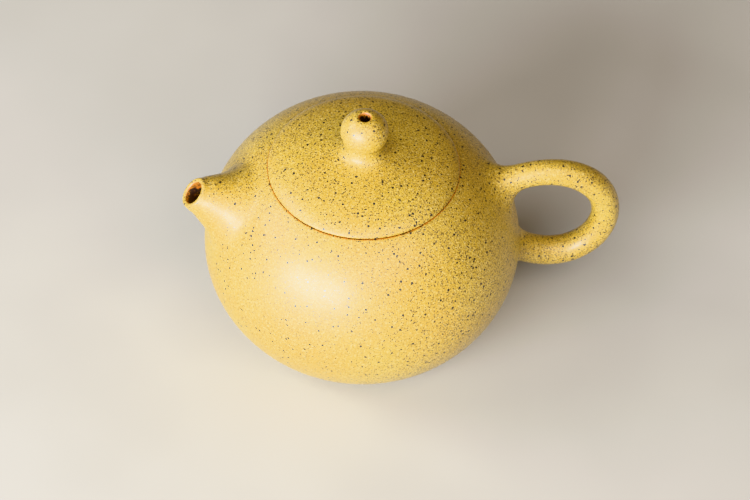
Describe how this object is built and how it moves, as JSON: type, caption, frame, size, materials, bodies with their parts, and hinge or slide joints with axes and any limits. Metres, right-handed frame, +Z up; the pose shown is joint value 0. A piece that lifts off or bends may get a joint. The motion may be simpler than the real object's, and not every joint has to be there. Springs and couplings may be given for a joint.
{
  "type": "yixing clay teapot",
  "caption": "Small round clay teapot with a flush lid, a bead knob with a vent, a short spout and a loop handle.",
  "frame": {"origin": "on the surface the pot stands on, under the middle of its overall length and width", "axes": "+X from the spout towards the handle, +Z up"},
  "size_m": [0.1225, 0.088, 0.0792],
  "materials": {
    "speckled_clay": "unglazed, satin, speckled",
    "stained_clay": "unglazed, matt, stained by tea"
  },
  "bodies": {
    "pot": {"body_wall": "speckled_clay", "shoulder_disc": "speckled_clay", "base_disc": "speckled_clay", "mouth_ring": "stained_clay", "spout": "speckled_clay", "strainer_dome": "stained_clay", "handle": "speckled_clay"},
    "lid_seat": {"lid_flange": "stained_clay"},
    "lid": {"lid_plate": "speckled_clay", "lid_knob": "speckled_clay"}
  },
  "joints": [
    {"name": "lid_lift", "type": "slide", "parent": "pot", "child": "lid_seat", "axis": [0, 0, 1], "range_m": [0, 0.06]},
    {"name": "lid_turn", "type": "hinge", "parent": "lid_seat", "child": "lid", "pos_m": [-0.0114, 0, 0.0591], "axis": [0, 0, 1], "continuous": true}
  ]
}
